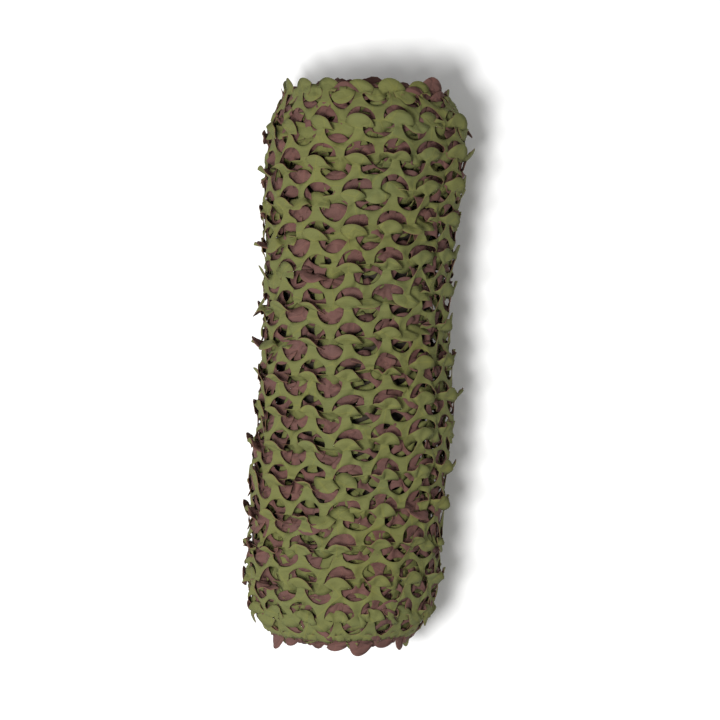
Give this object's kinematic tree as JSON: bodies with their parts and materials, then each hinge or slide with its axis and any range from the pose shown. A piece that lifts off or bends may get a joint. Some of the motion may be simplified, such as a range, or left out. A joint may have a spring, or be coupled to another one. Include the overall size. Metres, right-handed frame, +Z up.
{
  "type": "rolled camouflage net",
  "caption": "Leaf-cut camouflage net, folded in three lengthwise and rolled up, lying on its side; spread out it hides or shades what is under it.",
  "frame": {"origin": "on the surface that the roll lies on, under the middle of its box", "axes": "+Z up, +Y along the roll, +X to the side on which the net's outer end lies"},
  "size_m": [0.3614, 1, 0.326],
  "materials": {
    "green_face": "matt olive green woven face",
    "brown_face": "matt reddish brown woven face",
    "inner_turns": "net deep inside the roll, in its own shade"
  },
  "bodies": {
    "root": {"net_roll": "green_face"}
  },
  "joints": []
}
